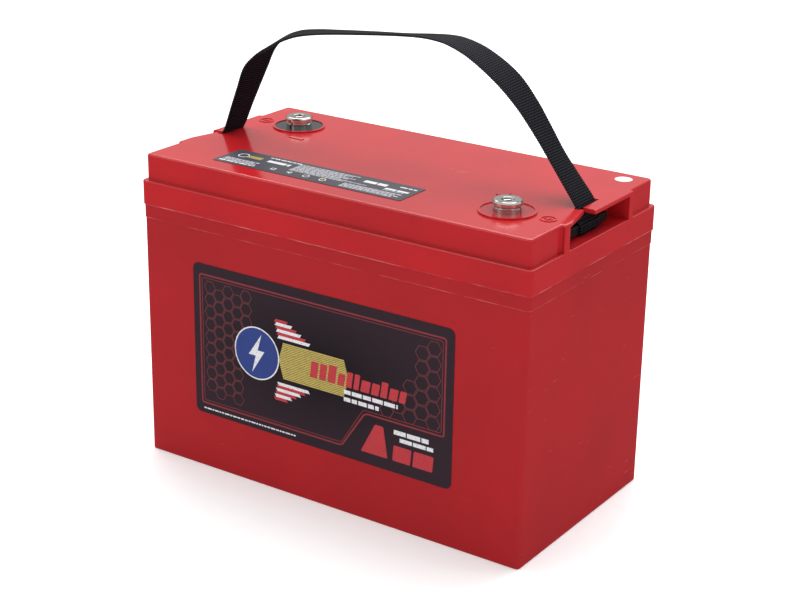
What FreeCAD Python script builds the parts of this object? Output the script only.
"""A 12 V absorbed-glass-mat deep cycle battery of the group 31 size, with a webbing carrying handle.

The case holds six cells in a row along X. An inner lid closes the cells and carries the relief
valves and the terminal towers, and the outer lid closes on top of it. The origin is the centre of
the underside. +X runs along the case towards the positive terminal, -Y is the side with the large
label, and +Z is up. All lengths are in millimetres.
"""
import FreeCAD, Part
import math
import os

import Sketcher
from FreeCAD import Vector

CELLS = 6
POSITIVE_PLATES = 7
NEGATIVE_PLATES = 8
FRONT, REAR = -1, 1

# How far a cut runs past the material, and how closely edges are matched when picked out.
OVERRUN = 2
PARALLEL = 1e-6
NEAR = 0.01
LEAST_CUT = 0.01

# Driving dimensions: name, value, what it is.
DIMENSIONS = [
    ("overall_length", 331.6, "lid skirt, end to end"),
    ("overall_width", 175.4, "lid skirt, front to back"),
    ("corner_radius", 3.6, "upright corners of the lid skirt"),
    ("wall_inset", 1.1, "case wall, in from the skirt"),
    ("band_inset", 0.7, "inner lid's flange band, in from the skirt"),
    ("block_inset", 3.0, "raised block of the lid, in from the skirt"),
    ("block_radius", 2.8, "upright corners of the raised block"),
    ("foot_radius", 1.2, "edge round the underside of the case"),
    ("case_floor", 4, "thickness of the case floor"),
    ("case_rim", 189, "top of the case's outer wall"),
    ("tongue_top", 195, "top of the case's tongue and partitions"),
    ("deck_under", 197, "underside of the inner lid's deck"),
    ("skirt_bottom", 199, "lower edge of the lid skirt"),
    ("deck_top", 201, "top of the inner lid's deck"),
    ("ledge_top", 217.2, "ledge of the lid skirt"),
    ("lid_top", 237, "top of the lid"),
    ("lid_wall", 4, "thickness of the lid's ledge and top"),
    ("skirt_wall", 2.8, "thickness of the lid's skirt"),
    ("tongue_wall", 2.0, "thickness of the case's tongue"),
    ("joint_gap", 0.2, "clearance round the tongue and the deck"),
    ("inner_length", 320, "all six cells and five partitions"),
    ("inner_width", 163, "a cell, front to back"),
    ("cell_width", 51.6, "a cell along the case"),
    ("cell_pitch", 53.68, "cell to cell"),
    ("handle_y", 3, "middle of the handle, front to back"),
    ("proud_width", 97, "proud handle section, front to back"),
    ("pocket_width", 84, "handle pocket, front to back"),
    ("pocket_inner", 149.5, "handle pocket's back wall, from the middle"),
    ("pocket_top", 234, "underside of the plate over the pocket"),
    ("slit_inner", 152.4, "inner side of the strap slit, from the middle"),
    ("slit_outer", 156.2, "outer side of the strap slit, from the middle"),
    ("slit_width", 29, "strap slit, front to back"),
    ("neck_front", -9.5, "front side of the neck that opens the slit"),
    ("neck_rear", -5.0, "rear side of the neck that opens the slit"),
    ("taper_tip", 159.2, "tip of the plate's front finger, from the middle"),
    ("taper_start", -38, "where the front finger's taper starts"),
    ("terminal_x", 119.3, "terminal, from the middle, along the case"),
    ("terminal_y", 42.4, "terminal, from the middle, front to back"),
    ("ring_radius", 20.2, "raised ring round a terminal"),
    ("well_radius", 18.6, "epoxy well round a terminal"),
    ("ring_top", 238.2, "top of the raised ring"),
    ("epoxy_top", 237.6, "top of the epoxy"),
    ("tower_radius", 14.8, "inner lid's terminal tower"),
    ("tower_top", 231, "top of the terminal tower"),
    ("shank_radius", 7.9, "terminal's shank in the tower"),
    ("post_radius", 9.7, "terminal's post above the epoxy"),
    ("disc_radius", 10.5, "terminal's contact disc"),
    ("disc_bottom", 242.2, "underside of the contact disc"),
    ("disc_top", 245.6, "top of the contact disc"),
    ("thread_radius", 3.35, "bore of the M8 thread"),
    ("thread_depth", 16, "depth of the M8 thread"),
    ("lug_y", 43.4, "plate lugs and cast straps, from the middle"),
    ("lug_width", 12, "plate lug, front to back"),
    ("plate_width", 154, "plate, front to back"),
    ("plate_bottom", 7, "lower edge of the plates"),
    ("plate_top", 150, "upper edge of the plates"),
    ("mat_width", 158, "glass mat, front to back"),
    ("mat_top", 154, "upper edge of the glass mats"),
    ("positive_thickness", 2.6, "positive plate"),
    ("negative_thickness", 1.8, "negative plate"),
    ("mat_thickness", 1.2, "glass mat, compressed"),
    ("plate_pitch", 6.8, "one positive, one negative and two mats"),
    ("stack_margin", 1.1, "cell wall to the first plate"),
    ("strap_bottom", 162, "underside of the cast straps"),
    ("strap_top", 172, "top of the cast straps"),
    ("strap_width", 16, "cast strap, front to back"),
    ("tab_thickness", 3, "upright tab against a partition"),
    ("tab_top", 190, "top of the upright tab"),
    ("weld_z", 181, "height of the weld through a partition"),
    ("weld_radius", 5.5, "weld through a partition"),
    ("riser_bottom", 181, "underside of the risers' level part"),
    ("riser_top", 189, "top of the risers, where a terminal is burned on"),
    ("nozzle_radius", 6.5, "valve nozzle"),
    ("nozzle_bore", 2.5, "gas passage in the nozzle"),
    ("nozzle_top", 212, "top of the valve nozzle"),
    ("cap_radius", 8.2, "relief valve cap"),
    ("cap_bottom", 205, "lower edge of the cap's skirt"),
    ("cap_top", 214, "top of the cap"),
    ("cap_clearance", 0.05, "cap's skirt round the nozzle"),
    ("post_gap", 1.0, "cap to the lid post over it"),
    ("label_thickness", 0.3, "adhesive labels"),
    ("front_label_left", -118.6, "large label"),
    ("front_label_right", 109, "large label"),
    ("front_label_bottom", 44.6, "large label"),
    ("front_label_top", 163.5, "large label"),
    ("front_label_radius", 5, "large label's corners"),
    ("top_label_left", -114, "small label on the lid"),
    ("top_label_right", 50, "small label on the lid"),
    ("top_label_front", -68, "small label on the lid"),
    ("top_label_rear", -35.5, "small label on the lid"),
    ("dot_x", 148, "check dot"),
    ("dot_y", 69, "check dot"),
    ("dot_radius", 6.3, "check dot"),
    ("webbing_width", 25, "handle webbing"),
    ("webbing_thickness", 1.9, "handle webbing"),
    ("bar_inner", 151.2, "locking bar, side nearer the middle"),
    ("bar_outer", 156.6, "locking bar, side nearer the end"),
    ("bar_bottom", 218.9, "locking bar"),
    ("bar_top", 225.4, "locking bar"),
    ("bar_length", 54, "locking bar, front to back"),
    ("wrap", 1.3, "webbing wrapped round the bar"),
    ("tail_inner", 153.4, "webbing in the slit, side nearer the middle"),
    ("tail_outer", 155.3, "webbing in the slit, side nearer the end"),
    ("tail_top", 236.8, "webbing in the slit, upper end"),
    ("hinge_z", 250, "height of the axis that the handle swings about"),
    ("mark_height", 0.5, "raised marks on the lid"),
    ("mark_line", 1.2, "line width of the raised marks"),
    ("ring_mark_x", 150, "small ringed polarity mark, from the middle"),
    ("ring_mark_y", 41, "small ringed polarity mark, from the middle"),
    ("ring_mark_radius", 6, "small ringed polarity mark"),
    ("large_mark_x", 100, "large polarity mark, from the middle"),
    ("large_mark_y", 14, "large polarity mark, from the middle"),
    ("large_mark", 12, "length of the large polarity mark"),
    ("proud_radius", 1.0, "upright edges of the proud handle section"),
    ("top_radius", 1.8, "edge round the top of the lid"),
    ("ledge_radius", 0.9, "outer edge of the ledge"),
    ("well_floor_under", 228, "underside of the epoxy wells' floors"),
    ("post_radius_over_cap", 4, "post over a relief valve cap"),
    ("riser_width", 14, "risers, across"),
    ("riser_shift", 12, "riser's foot, further out than the terminal"),
    ("tail_radius", 6, "terminal's tail and ring seat"),
    ("ring_seat_bottom", 224.5, "seat of the rubber ring"),
    ("ring_seat_top", 227.5, "seat of the rubber ring"),
    ("flange_radius", 12.3, "terminal's flange under the epoxy"),
    ("flange_top", 233.5, "terminal's flange under the epoxy"),
    ("neck_height", 1.5, "groove under the contact disc"),
    ("neck_depth", 0.9, "groove under the contact disc"),
    ("disc_chamfer", 1.1, "upper edge of the contact disc"),
    ("thread_chamfer", 0.9, "mouth of the thread"),
    ("bar_edge", 1.0, "long edges of the locking bar"),
]

# Centre line of the handle at rest, in the plane X, Z: each corner and the radius that rounds it.
HANDLE_ROUTE = [
    (-154.3, 236.0, 0),
    (-139.5, 291.0, 34),
    (-94.0, 323.5, 60),
    (20.0, 338.5, 190),
    (88.0, 320.5, 110),
    (137.0, 278.0, 70),
    (154.3, 236.0, 0),
]

doc = FreeCAD.newDocument("deep_cycle_battery")
sheet = doc.addObject("Spreadsheet::Sheet", "Size")
NODES = []


def fill_sheet():
    """Writes the driving dimensions into the sheet, one row each."""
    for row, (name, value, meaning) in enumerate(DIMENSIONS, start=1):
        sheet.set(f"A{row}", str(value))
        sheet.setAlias(f"A{row}", name)
        sheet.set(f"B{row}", meaning)
    doc.recompute()


def size(expression):
    """The present value of an expression on the sheet."""
    return float(sheet.evalExpression(expression))


def new_body(label):
    """A PartDesign body that is exported as the node of the same name."""
    body = doc.addObject("PartDesign::Body", label)
    body.Label = label
    NODES.append(body)
    return body


def origin_part(body, role):
    """One of a body's own origin planes or axes."""
    return next(item for item in body.Origin.OriginFeatures if item.Role == role)


def new_sketch(body, role, offset="0"):
    """A sketch on one of the body's origin planes, moved along the plane's normal."""
    sketch = body.newObject("Sketcher::SketchObject", body.Label + "_sketch")
    sketch.AttachmentSupport = [(origin_part(body, role), "")]
    sketch.MapMode = "FlatFace"
    sketch.setExpression("AttachmentOffset.Base.z", offset)
    return sketch


def bind(sketch, constraint, expression):
    """Adds a constraint whose value follows an expression."""
    index = sketch.addConstraint(constraint)
    name = f"value_{index}"
    sketch.renameConstraint(index, name)
    sketch.setExpression("Constraints." + name, expression)


def polygon(sketch, corners):
    """A closed outline whose corners are pairs of expressions."""
    places = [Vector(size(x), size(y), 0) for x, y in corners]
    first = sketch.GeometryCount
    count = len(corners)
    for index, place in enumerate(places):
        sketch.addGeometry(Part.LineSegment(place, places[(index + 1) % count]), False)
    for index in range(count):
        following = first + (index + 1) % count
        sketch.addConstraint(Sketcher.Constraint("Coincident", first + index, 2, following, 1))
    for index, (x, y) in enumerate(corners):
        line = first + index
        bind(sketch, Sketcher.Constraint("DistanceX", -1, 1, line, 1, places[index].x), x)
        bind(sketch, Sketcher.Constraint("DistanceY", -1, 1, line, 1, places[index].y), y)


def rectangle(sketch, left, right, low, high):
    """A rectangle given by the expressions of its four sides."""
    polygon(sketch, [(left, low), (right, low), (right, high), (left, high)])


def centred(sketch, length, width):
    """A rectangle centred on the origin, given by two expressions."""
    rectangle(sketch, f"-({length}) / 2", f"({length}) / 2", f"-({width}) / 2", f"({width}) / 2")


def circle(sketch, x, y, radius):
    """A circle given by the expressions of its centre and radius."""
    centre = Vector(size(x), size(y), 0)
    index = sketch.addGeometry(Part.Circle(centre, Vector(0, 0, 1), size(radius)), False)
    bind(sketch, Sketcher.Constraint("DistanceX", -1, 1, index, 3, centre.x), x)
    bind(sketch, Sketcher.Constraint("DistanceY", -1, 1, index, 3, centre.y), y)
    bind(sketch, Sketcher.Constraint("Radius", index, size(radius)), radius)


def pad(body, sketch, length, both_ways=False):
    """Pads a sketch along its normal, or half each way."""
    feature = body.newObject("PartDesign::Pad", body.Label + "_pad")
    feature.Profile = (sketch, [""])
    feature.setExpression("Length", length)
    feature.SideType = "Symmetric" if both_ways else "One side"
    doc.recompute()
    return feature


def pocket(body, sketch, length, upwards=False, both_ways=False):
    """Cuts a sketch out of the body and checks that it took something away."""
    before = body.Shape.Volume
    feature = body.newObject("PartDesign::Pocket", body.Label + "_pocket")
    feature.Profile = (sketch, [""])
    feature.setExpression("Length", length)
    feature.SideType = "Symmetric" if both_ways else "One side"
    feature.Reversed = upwards
    doc.recompute()
    if body.Shape.Volume > before - LEAST_CUT:
        raise RuntimeError(f"{feature.Name} in {body.Label} cuts nothing")
    return feature


def row_of(body, feature, count, length):
    """Repeats a feature along X, the last copy at the given distance from the first."""
    pattern = body.newObject("PartDesign::LinearPattern", body.Label + "_row")
    pattern.Originals = [feature]
    pattern.Direction = (origin_part(body, "X_Axis"), [""])
    pattern.Occurrences = count
    pattern.setExpression("Length", length)
    body.Tip = pattern
    doc.recompute()
    return pattern


def round_edges(body, radius, wanted):
    """Fillets the edges of the body's present tip that a test picks out."""
    base = body.Tip
    names = [f"Edge{n}" for n, edge in enumerate(base.Shape.Edges, start=1) if wanted(edge)]
    if not names:
        raise RuntimeError(f"no edges to round on {body.Label}")
    feature = body.newObject("PartDesign::Fillet", body.Label + "_fillet")
    feature.Base = (base, names)
    feature.setExpression("Radius", radius)
    doc.recompute()
    if "Invalid" in feature.State or feature.Shape.isNull():
        raise RuntimeError(f"{feature.Name} in {body.Label} can't be rounded")
    return feature


def is_upright(edge):
    """Whether an edge is straight and parallel to Z."""
    box = edge.BoundBox
    return box.XLength < PARALLEL and box.YLength < PARALLEL


def upright_corners(length, width):
    """A test for the upright edges at the corners of a centred rectangle."""
    half_length, half_width = size(length) / 2, size(width) / 2

    def wanted(edge):
        place = edge.CenterOfMass
        at_corner = (abs(abs(place.x) - half_length) < NEAR
                     and abs(abs(place.y) - half_width) < NEAR)
        return is_upright(edge) and at_corner

    return wanted


def level_edges(height, least_x=0, least_y=0):
    """A test for the edges that lie at one height, outside a rectangle about the middle."""
    level = size(height)

    def wanted(edge):
        box = edge.BoundBox
        place = edge.CenterOfMass
        outside = abs(place.x) > least_x or abs(place.y) > least_y
        return abs(box.ZMin - level) < NEAR and abs(box.ZMax - level) < NEAR and outside

    return wanted


def spin(body, corners):
    """Revolves an outline of radius and height pairs about the body's Z axis."""
    sketch = new_sketch(body, "XZ_Plane")
    polygon(sketch, corners)
    feature = body.newObject("PartDesign::Revolution", body.Label + "_turned")
    feature.Profile = (sketch, [""])
    feature.ReferenceAxis = (origin_part(body, "Z_Axis"), [""])
    feature.Angle = 360
    doc.recompute()
    return feature


def place(item, x, y, z="0"):
    """Moves a body or primitive by three expressions."""
    item.setExpression("Placement.Base.x", x)
    item.setExpression("Placement.Base.y", y)
    item.setExpression("Placement.Base.z", z)


def cell_left(cell):
    """The low X side of a cell, counted from 1."""
    return f"-Size.inner_length / 2 + {cell - 1} * Size.cell_pitch"


def cell_middle(cell):
    """The middle of a cell along X, counted from 1."""
    return f"{cell_left(cell)} + Size.cell_width / 2"


def partition_middle(number):
    """The middle plane of a partition along X, counted from 1."""
    return f"{cell_left(number + 1)} - (Size.cell_pitch - Size.cell_width) / 2"


def cut_cells(body, top, depth):
    """Cuts the six cells, side by side, down from a height."""
    sketch = new_sketch(body, "XY_Plane", top)
    rectangle(sketch, cell_left(1), f"{cell_left(1)} + Size.cell_width",
              "-Size.inner_width / 2", "Size.inner_width / 2")
    first = pocket(body, sketch, depth)
    row_of(body, first, CELLS, f"{CELLS - 1} * Size.cell_pitch")


def positive_side(cell):
    """The side of a cell that its positive lugs are on: front in odd cells, rear in even ones."""
    return FRONT if cell % 2 else REAR


def build_case():
    """The container: floor, outer wall, five partitions and the tongue that the lid closes on."""
    body = new_body("case")
    length = "Size.overall_length - 2 * Size.wall_inset"
    width = "Size.overall_width - 2 * Size.wall_inset"
    wall = new_sketch(body, "XY_Plane")
    centred(wall, length, width)
    pad(body, wall, "Size.case_rim")
    round_edges(body, "Size.corner_radius - Size.wall_inset / 2", upright_corners(length, width))
    round_edges(body, "Size.foot_radius", level_edges("0"))
    tongue = new_sketch(body, "XY_Plane", "Size.case_rim")
    centred(tongue, "Size.inner_length + 2 * Size.tongue_wall",
            "Size.inner_width + 2 * Size.tongue_wall")
    pad(body, tongue, "Size.tongue_top - Size.case_rim")
    cut_cells(body, "Size.tongue_top", "Size.tongue_top - Size.case_floor")
    for side, first, count in ((FRONT, 1, 3), (REAR, 2, 2)):
        hole = new_sketch(body, "YZ_Plane", partition_middle(first))
        circle(hole, f"{side} * Size.lug_y", "Size.weld_z", "Size.weld_radius")
        opening = pocket(body, hole, f"Size.cell_pitch - Size.cell_width + {OVERRUN}", both_ways=True)
        row_of(body, opening, count, f"{2 * (count - 1)} * Size.cell_pitch")


def build_lid_sealant():
    """The bead that bonds the inner lid to the case's tongue and partitions."""
    body = new_body("lid_sealant")
    bead = new_sketch(body, "XY_Plane", "Size.tongue_top")
    centred(bead, "Size.inner_length + 2 * Size.tongue_wall",
            "Size.inner_width + 2 * Size.tongue_wall")
    pad(body, bead, "Size.deck_under - Size.tongue_top")
    cut_cells(body, "Size.deck_under", "Size.deck_under - Size.tongue_top")


def build_inner_lid():
    """The inner lid: flange band, deck, two terminal towers and six valve nozzles."""
    body = new_body("inner_lid")
    band_length = "Size.overall_length - 2 * Size.band_inset"
    band_width = "Size.overall_width - 2 * Size.band_inset"
    band = new_sketch(body, "XY_Plane", "Size.case_rim")
    centred(band, band_length, band_width)
    pad(body, band, "Size.skirt_bottom - Size.case_rim")
    round_edges(body, "Size.corner_radius - Size.band_inset / 2",
                upright_corners(band_length, band_width))
    deck = new_sketch(body, "XY_Plane", "Size.skirt_bottom")
    centred(deck, "Size.overall_length - 2 * (Size.skirt_wall + Size.joint_gap)",
            "Size.overall_width - 2 * (Size.skirt_wall + Size.joint_gap)")
    pad(body, deck, "Size.deck_top - Size.skirt_bottom")
    towers = new_sketch(body, "XY_Plane", "Size.deck_top")
    circle(towers, "Size.terminal_x", "-Size.terminal_y", "Size.tower_radius")
    circle(towers, "-Size.terminal_x", "Size.terminal_y", "Size.tower_radius")
    pad(body, towers, "Size.tower_top - Size.deck_top")
    nozzle = new_sketch(body, "XY_Plane", "Size.deck_top")
    circle(nozzle, cell_middle(1), "0.0", "Size.nozzle_radius")
    row_of(body, pad(body, nozzle, "Size.nozzle_top - Size.deck_top"), CELLS,
           f"{CELLS - 1} * Size.cell_pitch")
    groove = new_sketch(body, "XY_Plane", "Size.deck_under")
    centred(groove, "Size.inner_length + 2 * (Size.tongue_wall + Size.joint_gap)",
            "Size.inner_width + 2 * (Size.tongue_wall + Size.joint_gap)")
    pocket(body, groove, "Size.deck_under - Size.case_rim")
    passages = new_sketch(body, "XY_Plane", "Size.tower_top")
    circle(passages, "Size.terminal_x", "-Size.terminal_y", "Size.shank_radius")
    circle(passages, "-Size.terminal_x", "Size.terminal_y", "Size.shank_radius")
    pocket(body, passages, "Size.tower_top - Size.case_rim")
    vent = new_sketch(body, "XY_Plane", "Size.nozzle_top")
    circle(vent, cell_middle(1), "0.0", "Size.nozzle_bore")
    row_of(body, pocket(body, vent, "Size.nozzle_top - Size.case_rim"), CELLS,
           f"{CELLS - 1} * Size.cell_pitch")


def build_lid():
    """The outer lid: skirt, raised block, handle pockets, terminal wells and raised marks."""
    body = new_body("lid")
    length, width = "Size.overall_length", "Size.overall_width"
    skirt = new_sketch(body, "XY_Plane", "Size.skirt_bottom")
    centred(skirt, length, width)
    pad(body, skirt, "Size.ledge_top - Size.skirt_bottom")
    round_edges(body, "Size.corner_radius", upright_corners(length, width))
    block_length = f"{length} - 2 * Size.block_inset"
    block_width = f"{width} - 2 * Size.block_inset"
    block = new_sketch(body, "XY_Plane", "Size.ledge_top")
    centred(block, block_length, block_width)
    pad(body, block, "Size.lid_top - Size.ledge_top")
    round_edges(body, "Size.block_radius", upright_corners(block_length, block_width))
    proud = new_sketch(body, "XY_Plane", "Size.ledge_top")
    rectangle(proud, f"-{length} / 2", f"{length} / 2",
              "Size.handle_y - Size.proud_width / 2", "Size.handle_y + Size.proud_width / 2")
    pad(body, proud, "Size.lid_top - Size.ledge_top")
    half_handle = size("Size.proud_width") / 2 + size("Size.handle_y")
    for face_length in (length, block_length):
        face_x = size(face_length) / 2
        round_edges(body, "Size.proud_radius",
                    lambda edge: is_upright(edge) and abs(edge.CenterOfMass.y) < half_handle + NEAR
                    and abs(abs(edge.CenterOfMass.x) - face_x) < NEAR)
    round_edges(body, "Size.top_radius", level_edges("Size.lid_top"))
    cut_handle_pockets(body)
    round_edges(body, "Size.ledge_radius",
                level_edges("Size.ledge_top", size(f"{length} / 2") - NEAR,
                            size(f"{width} / 2") - NEAR))
    hollow_lid(body)
    build_terminal_wells(body)
    build_valve_posts(body)
    add_marks(body)


def slit_outline(end):
    """The cut through the plate over a handle pocket: the slit, its neck and the front taper."""
    front = "Size.handle_y - Size.slit_width / 2"
    rear = "Size.handle_y + Size.slit_width / 2"
    beyond = f"Size.overall_length / 2 + {OVERRUN}"
    corners = [
        ("Size.slit_inner", front),
        ("Size.slit_outer", front),
        ("Size.slit_outer", "Size.neck_front"),
        ("Size.taper_tip", "Size.neck_front"),
        ("Size.overall_length / 2", "Size.taper_start"),
        (beyond, "Size.taper_start"),
        (beyond, "Size.neck_rear"),
        ("Size.slit_outer", "Size.neck_rear"),
        ("Size.slit_outer", rear),
        ("Size.slit_inner", rear),
    ]
    return [(f"{end} * ({x})", y) for x, y in corners]


def cut_handle_pockets(body):
    """Cuts the pocket in each end of the lid, and the slit through the plate over it."""
    front = "Size.handle_y - Size.pocket_width / 2"
    rear = "Size.handle_y + Size.pocket_width / 2"
    beyond = f"Size.overall_length / 2 + {OVERRUN}"
    mouths = new_sketch(body, "XY_Plane", "Size.pocket_top")
    rectangle(mouths, "Size.pocket_inner", beyond, front, rear)
    rectangle(mouths, f"-({beyond})", "-Size.pocket_inner", front, rear)
    pocket(body, mouths, "Size.pocket_top - Size.ledge_top")
    slits = new_sketch(body, "XY_Plane", "Size.lid_top")
    for end in (1, -1):
        polygon(slits, slit_outline(end))
    pocket(body, slits, "Size.lid_top - Size.pocket_top")


def hollow_lid(body):
    """Hollows the lid from below: first under the ledge, then up into the block."""
    ledge_under = "Size.ledge_top - Size.lid_wall"
    skirt_room = new_sketch(body, "XY_Plane", ledge_under)
    centred(skirt_room, "Size.overall_length - 2 * Size.skirt_wall",
            "Size.overall_width - 2 * Size.skirt_wall")
    pocket(body, skirt_room, f"{ledge_under} - Size.skirt_bottom")
    wide = "Size.overall_length / 2 - Size.block_inset - Size.lid_wall"
    narrow = "Size.pocket_inner - Size.lid_wall"
    far = "Size.overall_width / 2 - Size.block_inset - Size.lid_wall"
    front = "Size.handle_y - Size.pocket_width / 2 - Size.lid_wall"
    rear = "Size.handle_y + Size.pocket_width / 2 + Size.lid_wall"
    right_side = [(wide, f"-({far})"), (wide, front), (narrow, front),
                  (narrow, rear), (wide, rear), (wide, far)]
    left_side = [(f"-({x})", y) for x, y in reversed(right_side)]
    block_room = new_sketch(body, "XY_Plane", "Size.lid_top - Size.lid_wall")
    polygon(block_room, right_side + left_side)
    pocket(body, block_room, f"Size.lid_top - Size.lid_wall - ({ledge_under})")


def at_terminals(sketch, radius):
    """A circle of one radius round each of the two terminals."""
    circle(sketch, "Size.terminal_x", "-Size.terminal_y", radius)
    circle(sketch, "-Size.terminal_x", "Size.terminal_y", radius)


def build_terminal_wells(body):
    """Adds the boss and raised ring of each terminal, and bores its epoxy well."""
    bosses = new_sketch(body, "XY_Plane", "Size.well_floor_under")
    at_terminals(bosses, "Size.ring_radius")
    pad(body, bosses, "Size.ring_top - Size.well_floor_under")
    wells = new_sketch(body, "XY_Plane", "Size.ring_top")
    at_terminals(wells, "Size.well_radius")
    pocket(body, wells, "Size.ring_top - Size.tower_top")
    towers = new_sketch(body, "XY_Plane", "Size.tower_top")
    at_terminals(towers, "Size.tower_radius + Size.joint_gap")
    pocket(body, towers, "Size.tower_top - Size.well_floor_under")


def build_valve_posts(body):
    """Adds the six posts that stop the relief valve caps from coming off."""
    posts = new_sketch(body, "XY_Plane", "Size.cap_top + Size.post_gap")
    circle(posts, cell_middle(1), "0.0", "Size.post_radius_over_cap")
    first = pad(body, posts, "Size.lid_top - Size.lid_wall / 2 - Size.cap_top - Size.post_gap")
    row_of(body, first, CELLS, f"{CELLS - 1} * Size.cell_pitch")


def cross_outline(x, y, long_side, short_side):
    """The twelve corners of a plus sign about a centre, as pairs of expressions."""
    steps = [(-1, -2), (1, -2), (1, -1), (2, -1), (2, 1), (1, 1),
             (1, 2), (-1, 2), (-1, 1), (-2, 1), (-2, -1), (-1, -1)]
    reach = {1: f"({short_side}) / 2", 2: f"({long_side}) / 2"}

    def along(middle, step):
        return f"{middle} {'+' if step > 0 else '-'} {reach[abs(step)]}"

    return [(along(x, across), along(y, up)) for across, up in steps]


def add_marks(body):
    """Adds the raised polarity marks: a small ringed sign at each end and a larger one inboard."""
    marks = new_sketch(body, "XY_Plane", "Size.lid_top - Size.mark_height")
    for end, sign_x in ((1, "Size.large_mark_x"), (-1, "-Size.large_mark_x")):
        ring_x, ring_y = f"{end} * Size.ring_mark_x", f"{-end} * Size.ring_mark_y"
        circle(marks, ring_x, ring_y, "Size.ring_mark_radius")
        circle(marks, ring_x, ring_y, "Size.ring_mark_radius - Size.mark_line")
        large_y = f"{-end} * Size.large_mark_y"
        for x, y, long_side, short_side in (
                (ring_x, ring_y, "Size.ring_mark_radius", "Size.mark_line"),
                (sign_x, large_y, "Size.large_mark", "3 * Size.mark_line")):
            if end == 1:
                polygon(marks, cross_outline(x, y, long_side, short_side))
            else:
                rectangle(marks, f"{x} - {long_side} / 2", f"{x} + {long_side} / 2",
                          f"{y} - {short_side} / 2", f"{y} + {short_side} / 2")
    pad(body, marks, "2 * Size.mark_height")


def build_stack(label, cell, first_starts, thickness, count, outline):
    """A set of upright sheets across a cell, each a solid of its own, one set for each start."""
    body = new_body(label)
    for start in first_starts:
        sheet_outline = new_sketch(body, "YZ_Plane", f"{cell_left(cell)} + {start}")
        polygon(sheet_outline, outline)
        row_of(body, pad(body, sheet_outline, thickness), count,
               f"{count - 1} * Size.plate_pitch")


def plate_outline(side):
    """A plate with its lug towards the front or the rear."""
    lug_low = f"{side} * Size.lug_y - Size.lug_width / 2"
    lug_high = f"{side} * Size.lug_y + Size.lug_width / 2"
    return [
        ("-Size.plate_width / 2", "Size.plate_bottom"),
        ("Size.plate_width / 2", "Size.plate_bottom"),
        ("Size.plate_width / 2", "Size.plate_top"),
        (lug_high, "Size.plate_top"),
        (lug_high, "Size.strap_bottom"),
        (lug_low, "Size.strap_bottom"),
        (lug_low, "Size.plate_top"),
        ("-Size.plate_width / 2", "Size.plate_top"),
    ]


def build_cast_strap(label, cell, side, tab_end):
    """A cast strap over one set of lugs; tab_end is +1 or -1 for a tab at that end, 0 for none."""
    body = new_body(label)
    left = f"{cell_left(cell)} + Size.stack_margin"
    right = f"{cell_left(cell)} + Size.cell_width - Size.stack_margin"
    profile = [(left, "Size.strap_bottom"), (right, "Size.strap_bottom"),
               (right, "Size.strap_top"), (left, "Size.strap_top")]
    if tab_end == 1:
        wall = f"{cell_left(cell)} + Size.cell_width"
        profile = [(left, "Size.strap_bottom"), (wall, "Size.strap_bottom"),
                   (wall, "Size.tab_top"), (f"{wall} - Size.tab_thickness", "Size.tab_top"),
                   (f"{wall} - Size.tab_thickness", "Size.strap_top"), (left, "Size.strap_top")]
    if tab_end == -1:
        wall = cell_left(cell)
        profile = [(wall, "Size.strap_bottom"), (right, "Size.strap_bottom"),
                   (right, "Size.strap_top"), (f"{wall} + Size.tab_thickness", "Size.strap_top"),
                   (f"{wall} + Size.tab_thickness", "Size.tab_top"), (wall, "Size.tab_top")]
    side_view = new_sketch(body, "XZ_Plane", f"{-side} * Size.lug_y")
    polygon(side_view, profile)
    pad(body, side_view, "Size.strap_width", both_ways=True)


def build_cell(cell):
    """One cell: plates, glass mats and the two cast straps."""
    positive, negative = positive_side(cell), -positive_side(cell)
    after_negative = "Size.stack_margin + Size.negative_thickness"
    build_stack(f"negative_plates_{cell}", cell, ["Size.stack_margin"],
                "Size.negative_thickness", NEGATIVE_PLATES, plate_outline(negative))
    build_stack(f"positive_plates_{cell}", cell, [f"{after_negative} + Size.mat_thickness"],
                "Size.positive_thickness", POSITIVE_PLATES, plate_outline(positive))
    mat = [("-Size.mat_width / 2", "Size.case_floor"), ("Size.mat_width / 2", "Size.case_floor"),
           ("Size.mat_width / 2", "Size.mat_top"), ("-Size.mat_width / 2", "Size.mat_top")]
    after_positive = f"{after_negative} + Size.mat_thickness + Size.positive_thickness"
    build_stack(f"separators_{cell}", cell, [after_negative, after_positive],
                "Size.mat_thickness", POSITIVE_PLATES, mat)
    build_cast_strap(f"positive_strap_{cell}", cell, positive, 1 if cell < CELLS else 0)
    build_cast_strap(f"negative_strap_{cell}", cell, negative, -1 if cell > 1 else 0)


def build_intercell_welds():
    """The five lead slugs through the partitions, alternating front and rear."""
    body = new_body("intercell_welds")
    for side, first, count in ((FRONT, 1, 3), (REAR, 2, 2)):
        slug = new_sketch(body, "YZ_Plane", partition_middle(first))
        circle(slug, f"{side} * Size.lug_y", "Size.weld_z", "Size.weld_radius")
        thickness = "Size.cell_pitch - Size.cell_width"
        row_of(body, pad(body, slug, thickness, both_ways=True), count,
               f"{2 * (count - 1)} * Size.cell_pitch")


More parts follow.
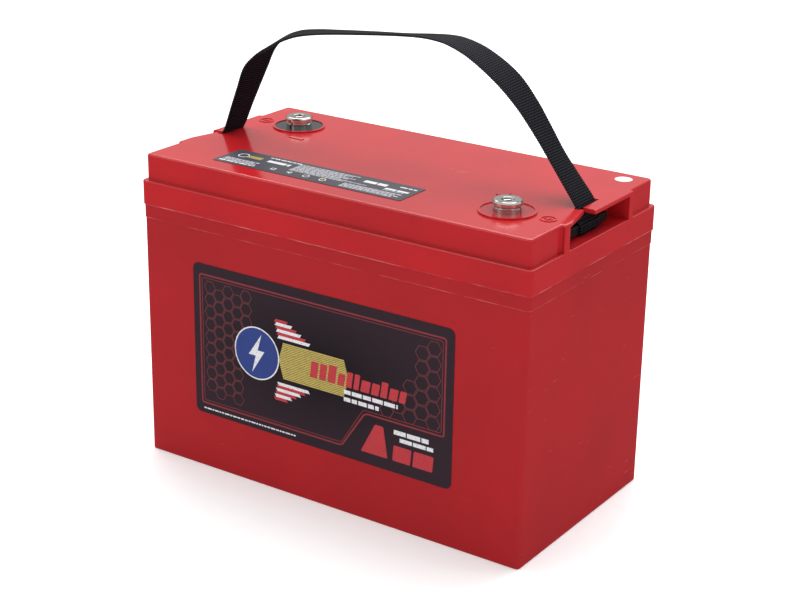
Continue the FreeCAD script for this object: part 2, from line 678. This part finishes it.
def build_risers():
    """The lead bars from the end cells' straps up to the terminals."""
    half = "Size.riser_width / 2"
    negative = new_body("riser_negative")
    foot_x = "-Size.terminal_x - Size.riser_shift"
    foot = new_sketch(negative, "XY_Plane", "Size.strap_top")
    rectangle(foot, f"{foot_x} - {half}", f"{foot_x} + {half}",
              f"Size.lug_y - {half}", f"Size.lug_y + {half}")
    pad(negative, foot, "Size.riser_bottom - Size.strap_top")
    arm = new_sketch(negative, "XY_Plane", "Size.riser_bottom")
    rectangle(arm, f"{foot_x} - {half}", f"-Size.terminal_x + {half}",
              f"Size.lug_y - {half}", f"Size.lug_y + {half}")
    pad(negative, arm, "Size.riser_top - Size.riser_bottom")
    positive = new_body("riser_positive")
    foot_x = "Size.terminal_x + Size.riser_shift"
    foot = new_sketch(positive, "XY_Plane", "Size.strap_top")
    rectangle(foot, f"{foot_x} - {half}", f"{foot_x} + {half}",
              f"Size.lug_y - {half}", f"Size.lug_y + {half}")
    pad(positive, foot, "Size.riser_bottom - Size.strap_top")
    arm = new_sketch(positive, "XY_Plane", "Size.riser_bottom")
    polygon(arm, [(f"{foot_x} + {half}", f"Size.lug_y + {half}"),
                  (f"{foot_x} - {half}", f"Size.lug_y + {half}"),
                  (f"{foot_x} - {half}", f"Size.lug_y - {half}"),
                  (f"Size.terminal_x - {half}", f"-Size.terminal_y + {half}"),
                  (f"Size.terminal_x - {half}", f"-Size.terminal_y - {half}"),
                  (f"Size.terminal_x + {half}", f"-Size.terminal_y - {half}"),
                  (f"Size.terminal_x + {half}", f"-Size.terminal_y + {half}"),
                  (f"{foot_x} + {half}", f"Size.lug_y - {half}")])
    pad(positive, arm, "Size.riser_top - Size.riser_bottom")


def build_terminal(polarity, x, y):
    """One terminal with its rubber ring and the epoxy that seals its well."""
    shank = "Size.shank_radius - Size.cap_clearance"
    countersink = "Size.thread_radius + Size.thread_chamfer"
    terminal = new_body(f"terminal_{polarity}")
    spin(terminal, [
        ("0.0", "Size.riser_top"),
        ("Size.tail_radius", "Size.riser_top"),
        ("Size.tail_radius", "Size.deck_top"),
        (shank, "Size.deck_top"),
        (shank, "Size.ring_seat_bottom"),
        ("Size.tail_radius", "Size.ring_seat_bottom"),
        ("Size.tail_radius", "Size.ring_seat_top"),
        (shank, "Size.ring_seat_top"),
        (shank, "Size.tower_top"),
        ("Size.flange_radius", "Size.tower_top"),
        ("Size.flange_radius", "Size.flange_top"),
        ("Size.post_radius", "Size.flange_top"),
        ("Size.post_radius", "Size.disc_bottom - Size.neck_height"),
        ("Size.post_radius - Size.neck_depth", "Size.disc_bottom - Size.neck_height"),
        ("Size.post_radius - Size.neck_depth", "Size.disc_bottom"),
        ("Size.disc_radius", "Size.disc_bottom"),
        ("Size.disc_radius", "Size.disc_top - Size.disc_chamfer"),
        ("Size.disc_radius - Size.disc_chamfer", "Size.disc_top"),
        (countersink, "Size.disc_top"),
        ("Size.thread_radius", "Size.disc_top - Size.thread_chamfer"),
        ("Size.thread_radius", "Size.disc_top - Size.thread_depth"),
        ("0.0", "Size.disc_top - Size.thread_depth"),
    ])
    place(terminal, x, y)
    seal = new_body(f"epoxy_seal_{polarity}")
    spin(seal, [
        ("Size.flange_radius", "Size.tower_top"),
        ("Size.well_radius", "Size.tower_top"),
        ("Size.well_radius", "Size.epoxy_top"),
        ("Size.post_radius", "Size.epoxy_top"),
        ("Size.post_radius", "Size.flange_top"),
        ("Size.flange_radius", "Size.flange_top"),
    ])
    place(seal, x, y)
    ring = doc.addObject("Part::Torus", f"o_ring_{polarity}")
    ring.Label = f"o_ring_{polarity}"
    ring.setExpression("Radius1", "(Size.tail_radius + Size.shank_radius) / 2")
    ring.setExpression("Radius2", "(Size.shank_radius - Size.tail_radius) / 2"
                       " - Size.cap_clearance")
    place(ring, x, y, "(Size.ring_seat_bottom + Size.ring_seat_top) / 2")
    NODES.append(ring)


def build_relief_valves():
    """A rubber cap on each cell's nozzle."""
    bore = "Size.nozzle_radius + Size.cap_clearance"
    for cell in range(1, CELLS + 1):
        cap = new_body(f"relief_valve_{cell}")
        spin(cap, [
            (bore, "Size.cap_bottom"),
            ("Size.cap_radius", "Size.cap_bottom"),
            ("Size.cap_radius", "Size.cap_top"),
            ("0.0", "Size.cap_top"),
            ("0.0", "Size.nozzle_top"),
            (bore, "Size.nozzle_top"),
        ])
        place(cap, cell_middle(cell), "0.0")


def build_labels():
    """The adhesive labels: a large one in front, a small one and a round one on the lid."""
    front = new_body("front_label")
    outline = new_sketch(front, "XZ_Plane", "Size.overall_width / 2 - Size.wall_inset")
    rectangle(outline, "Size.front_label_left", "Size.front_label_right",
              "Size.front_label_bottom", "Size.front_label_top")
    pad(front, outline, "Size.label_thickness")
    round_edges(front, "Size.front_label_radius",
                lambda edge: edge.BoundBox.XLength < PARALLEL
                and edge.BoundBox.ZLength < PARALLEL)
    top = new_body("top_label")
    outline = new_sketch(top, "XY_Plane", "Size.lid_top")
    rectangle(outline, "Size.top_label_left", "Size.top_label_right",
              "Size.top_label_front", "Size.top_label_rear")
    pad(top, outline, "Size.label_thickness")
    round_edges(top, "Size.mark_line", is_upright)
    dot = new_body("check_dot")
    outline = new_sketch(dot, "XY_Plane", "Size.lid_top")
    circle(outline, "Size.dot_x", "Size.dot_y", "Size.dot_radius")
    pad(dot, outline, "Size.label_thickness")


def build_strap_end(name, end):
    """The webbing in a slit, looped round its locking bar in the pocket."""
    webbing = new_body(f"strap_end_{name}")
    loop = [
        ("Size.bar_inner - Size.wrap", "Size.bar_bottom - Size.wrap"),
        ("Size.bar_outer + Size.wrap", "Size.bar_bottom - Size.wrap"),
        ("Size.bar_outer + Size.wrap", "Size.bar_top + Size.wrap"),
        ("Size.tail_outer", "Size.bar_top + Size.wrap"),
        ("Size.tail_outer", "Size.tail_top"),
        ("Size.tail_inner", "Size.tail_top"),
        ("Size.tail_inner", "Size.bar_top + Size.wrap"),
        ("Size.bar_inner - Size.wrap", "Size.bar_top + Size.wrap"),
    ]
    bar_sides = (f"{end} * Size.bar_inner", f"{end} * Size.bar_outer",
                 "Size.bar_bottom", "Size.bar_top")
    side_view = new_sketch(webbing, "XZ_Plane", "-Size.handle_y")
    polygon(side_view, [(f"{end} * ({x})", z) for x, z in loop])
    rectangle(side_view, *bar_sides)
    pad(webbing, side_view, "Size.webbing_width", both_ways=True)
    bar = new_body(f"t_bar_{name}")
    section = new_sketch(bar, "XZ_Plane", "-Size.handle_y")
    rectangle(section, *bar_sides)
    pad(bar, section, "Size.bar_length", both_ways=True)
    round_edges(bar, "Size.bar_edge",
                lambda edge: edge.BoundBox.YLength > size("Size.bar_length") / 2)


def route_edges(shift):
    """The handle's centre line as straight runs and tangent arcs, moved outwards by a shift."""
    points = [Vector(x, 0, z) for x, z, _ in HANDLE_ROUTE]
    directions = [(points[i + 1] - points[i]).normalize() for i in range(len(points) - 1)]
    outward = [Vector(-direction.z, 0, direction.x) for direction in directions]
    edges = []
    start = points[0] + outward[0] * shift
    for corner in range(1, len(points) - 1):
        before, after = directions[corner - 1], directions[corner]
        radius = HANDLE_ROUTE[corner][2]
        reach = radius * math.tan(before.getAngle(after) / 2)
        centre = points[corner] - before * reach - outward[corner - 1] * radius
        middle = (outward[corner - 1] + outward[corner]).normalize()
        enter, crown, leave = (centre + direction * (radius + shift)
                               for direction in (outward[corner - 1], middle, outward[corner]))
        edges.append(Part.makeLine(start, enter))
        edges.append(Part.Arc(enter, crown, leave).toShape())
        start = leave
    edges.append(Part.makeLine(start, points[-1] + outward[-1] * shift))
    return edges


def build_handle_strap():
    """The webbing arch, whose feet are rounded about the hinge axis so that they can turn."""
    half = size("Size.webbing_thickness / 2")
    outer, inner = route_edges(half), route_edges(-half)
    caps = [Part.makeLine(outer[0].Vertexes[0].Point, inner[0].Vertexes[0].Point),
            Part.makeLine(outer[-1].Vertexes[-1].Point, inner[-1].Vertexes[-1].Point)]
    outline = Part.Wire(Part.sortEdges(outer + inner + caps)[0])
    width = size("Size.webbing_width")
    middle_y, hinge_z = size("Size.handle_y"), size("Size.hinge_z")
    ribbon = Part.Face(outline).extrude(Vector(0, width, 0))
    ribbon.translate(Vector(0, middle_y - width / 2, 0))
    reach = size("Size.overall_length")
    above = Part.makeBox(2 * reach, 2 * width, reach,
                         Vector(-reach, middle_y - width, hinge_z))
    turning = Part.makeCylinder(width / 2, 2 * reach, Vector(-reach, middle_y, hinge_z),
                                Vector(1, 0, 0))
    handle = doc.addObject("Part::Feature", "handle_strap")
    handle.Label = "handle_strap"
    handle.Shape = ribbon.common(above.fuse(turning).removeSplitter()).Solids[0]
    NODES.append(handle)


def check_model():
    """Stops if any object of the document failed or any node's shape is missing or invalid."""
    doc.recompute()
    failed = [item.Name for item in doc.Objects if {"Invalid", "Error"} & set(item.State)]
    if failed:
        raise RuntimeError("failed objects: " + ", ".join(failed))
    for node in NODES:
        if node.Shape.isNull() or not node.Shape.isValid() or not node.Shape.Solids:
            raise RuntimeError(f"bad shape: {node.Label}")


def export_nodes():
    """Writes each node to its own STEP file."""
    os.makedirs("parts", exist_ok=True)
    for node in NODES:
        node.Shape.exportStep(f"parts/{node.Label}.step")


fill_sheet()
build_case()
build_lid_sealant()
build_inner_lid()
build_lid()
for number in range(1, CELLS + 1):
    build_cell(number)
build_intercell_welds()
build_risers()
build_terminal("positive", "Size.terminal_x", "-Size.terminal_y")
build_terminal("negative", "-Size.terminal_x", "Size.terminal_y")
build_relief_valves()
build_labels()
build_strap_end("right", 1)
build_strap_end("left", -1)
build_handle_strap()
check_model()
export_nodes()
